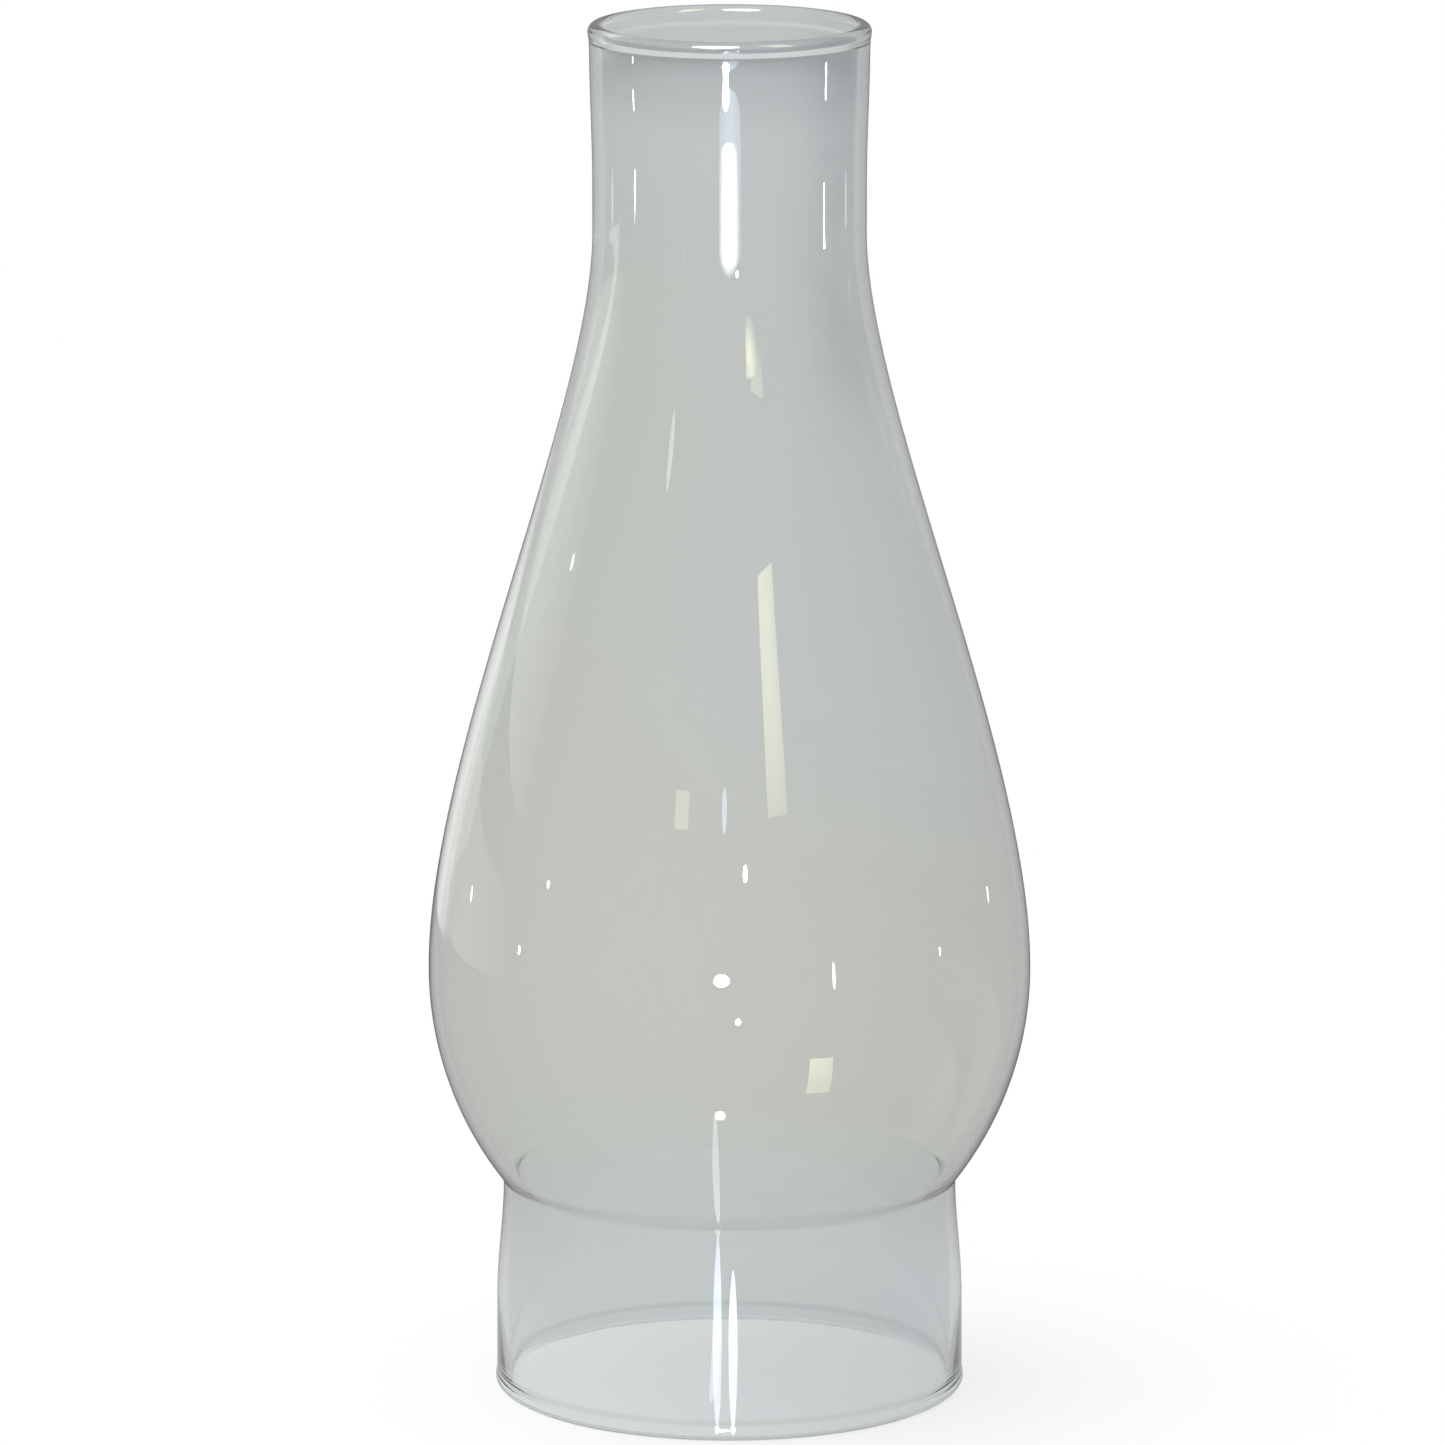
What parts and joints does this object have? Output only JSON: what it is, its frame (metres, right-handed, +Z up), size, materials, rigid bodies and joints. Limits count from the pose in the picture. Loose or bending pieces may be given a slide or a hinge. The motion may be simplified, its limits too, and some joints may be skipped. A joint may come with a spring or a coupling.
{
  "type": "oil lamp chimney",
  "caption": "Clear blown-glass chimney for a flat-wick oil lamp: short fitter band, round bulb, long taper to a narrow neck, fire-polished lips, open at both ends.",
  "frame": {"origin": "centre of the seat: on the chimney's axis, in the plane of the flat ring under the base lip", "axes": "+Z up the chimney's axis, from the seat to the mouth; X and Y are level and alike, because the chimney is a body of revolution"},
  "size_m": [0.0944, 0.0944, 0.216],
  "materials": {
    "clear_glass": "clear fire-polished soda-lime glass, very slightly wavy from blowing, no cut, print or frosting"
  },
  "bodies": {
    "root": {"chimney": "clear_glass"}
  },
  "joints": []
}
